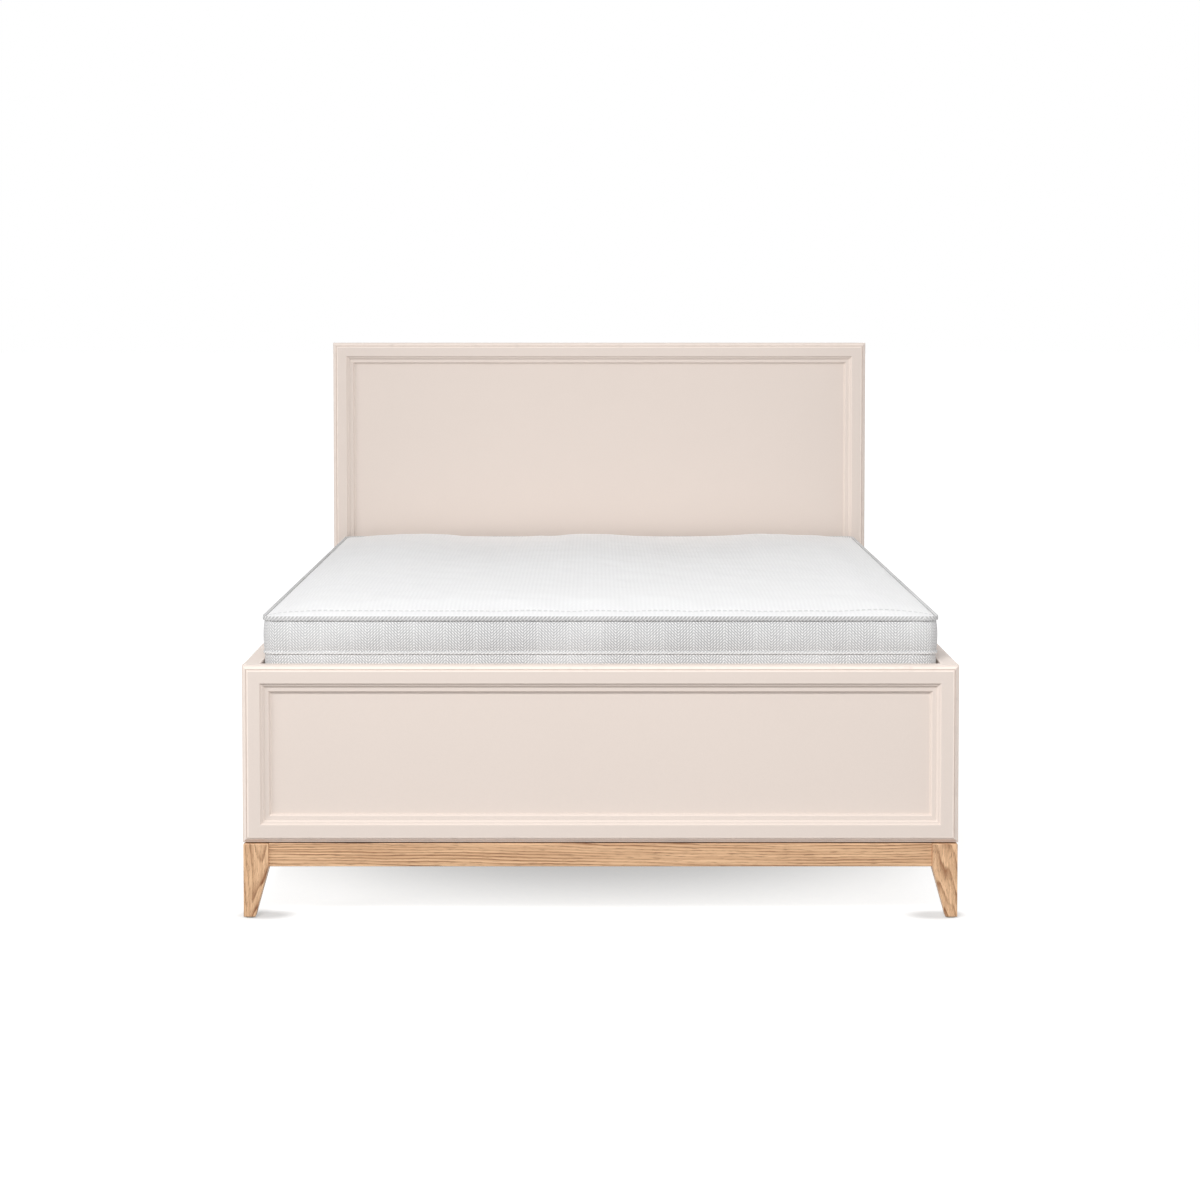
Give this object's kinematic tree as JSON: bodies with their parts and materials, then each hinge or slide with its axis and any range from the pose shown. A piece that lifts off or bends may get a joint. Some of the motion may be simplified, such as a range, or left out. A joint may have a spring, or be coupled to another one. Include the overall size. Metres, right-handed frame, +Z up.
{
  "type": "storage bed",
  "caption": "Framed box bed with a moulded headboard and footboard, oak plinth and tapered legs, a mattress, and a slatted platform that lifts on gas struts over the storage.",
  "frame": {"origin": "on the floor, at the middle of the bed's outline", "axes": "+X across the bed to the right seen from its foot end, +Y along the bed towards the headboard, +Z up"},
  "size_m": [1.474, 2.106, 1.154],
  "materials": {
    "painted_wood": "satin",
    "oak": "satin",
    "pine": "matte",
    "floor_board": "matte",
    "beech": "satin",
    "frame_steel": "satin",
    "plated_steel": "satin",
    "strut_steel": "gloss",
    "polished_rod": "polished",
    "black_plastic": "matte",
    "nylon": "satin",
    "knitted_cover": "matte",
    "sewn_tape": "matte",
    "webbing": "matte"
  },
  "bodies": {
    "bed_base": {"headboard_top_rail": "painted_wood", "headboard_bottom_rail": "painted_wood", "headboard_right_stile": "painted_wood", "headboard_left_stile": "painted_wood", "headboard_panel": "painted_wood", "footboard_top_rail": "painted_wood", "footboard_bottom_rail": "painted_wood", "footboard_right_stile": "painted_wood", "footboard_left_stile": "painted_wood", "footboard_panel": "painted_wood", "right_side_rail": "painted_wood", "left_side_rail": "painted_wood", "front_right_leg": "oak", "front_left_leg": "oak", "rear_right_leg": "oak", "rear_left_leg": "oak", "front_plinth_rail": "oak", "rear_plinth_rail": "oak", "right_plinth_rail": "oak", "left_plinth_rail": "oak", "floor_battens": "pine", "centre_beam": "pine", "centre_legs": "pine", "foot_rest_rail": "pine", "side_rest_blocks": "pine", "right_floor_panel": "floor_board", "left_floor_panel": "floor_board", "leg_glides": "black_plastic", "corner_brackets": "plated_steel", "bracket_bolts": "plated_steel", "plate_screws": "plated_steel", "right_hinge_plate": "plated_steel", "left_hinge_plate": "plated_steel", "right_glide_track": "plated_steel", "left_glide_track": "plated_steel"},
    "lift_platform": {"right_frame_tube": "frame_steel", "left_frame_tube": "frame_steel", "foot_frame_tube": "frame_steel", "head_frame_tube": "frame_steel", "centre_frame_tube": "frame_steel", "right_frame_brackets": "frame_steel", "left_frame_brackets": "frame_steel", "platform_pins": "plated_steel", "track_glides": "nylon", "right_slats": "beech", "left_slats": "beech", "slat_holders": "black_plastic", "mattress_stops": "frame_steel", "pull_strap": "webbing", "mattress": "knitted_cover", "mattress_top_tape": "sewn_tape", "mattress_seam_tape": "sewn_tape"},
    "right_lift_arm": {"right_lift_arm": "frame_steel"},
    "left_lift_arm": {"left_lift_arm": "frame_steel"},
    "right_strut_barrel": {"right_strut_barrel": "strut_steel"},
    "left_strut_barrel": {"left_strut_barrel": "strut_steel"},
    "right_strut_rod": {"right_strut_rod": "polished_rod"},
    "left_strut_rod": {"left_strut_rod": "polished_rod"}
  },
  "joints": [
    {"name": "left_arm_lift", "type": "hinge", "parent": "bed_base", "child": "left_lift_arm", "pos_m": [-0.693, -0.24, 0.378], "axis": [1, 0, 0], "range_deg": [0, 40]},
    {"name": "platform_tilt", "type": "hinge", "parent": "left_lift_arm", "child": "lift_platform", "pos_m": [-0.693, 0.36, 0.378], "axis": [-1, 0, 0], "range_deg": [0, 80]},
    {"name": "right_arm_lift", "type": "hinge", "parent": "bed_base", "child": "right_lift_arm", "pos_m": [0.693, -0.24, 0.378], "axis": [1, 0, 0], "range_deg": [0, 40]},
    {"name": "left_barrel_swing", "type": "hinge", "parent": "bed_base", "child": "left_strut_barrel", "pos_m": [-0.678, -0.085, 0.183], "axis": [1, 0, 0], "range_deg": [0, 20]},
    {"name": "left_rod_swing", "type": "hinge", "parent": "left_lift_arm", "child": "left_strut_rod", "pos_m": [-0.678, 0.0091, 0.378], "axis": [-1, 0, 0], "range_deg": [0, 20]},
    {"name": "right_barrel_swing", "type": "hinge", "parent": "bed_base", "child": "right_strut_barrel", "pos_m": [0.678, -0.085, 0.183], "axis": [1, 0, 0], "range_deg": [0, 20]},
    {"name": "right_rod_swing", "type": "hinge", "parent": "right_lift_arm", "child": "right_strut_rod", "pos_m": [0.678, 0.0091, 0.378], "axis": [-1, 0, 0], "range_deg": [0, 20]}
  ],
  "couplings": [
    {"joint": "left_arm_lift", "follows": "platform_tilt", "ratio": 0.5},
    {"joint": "right_arm_lift", "follows": "platform_tilt", "ratio": 0.5},
    {"joint": "left_barrel_swing", "follows": "platform_tilt", "ratio": 0.25},
    {"joint": "left_rod_swing", "follows": "platform_tilt", "ratio": 0.25},
    {"joint": "right_barrel_swing", "follows": "platform_tilt", "ratio": 0.25},
    {"joint": "right_rod_swing", "follows": "platform_tilt", "ratio": 0.25}
  ]
}
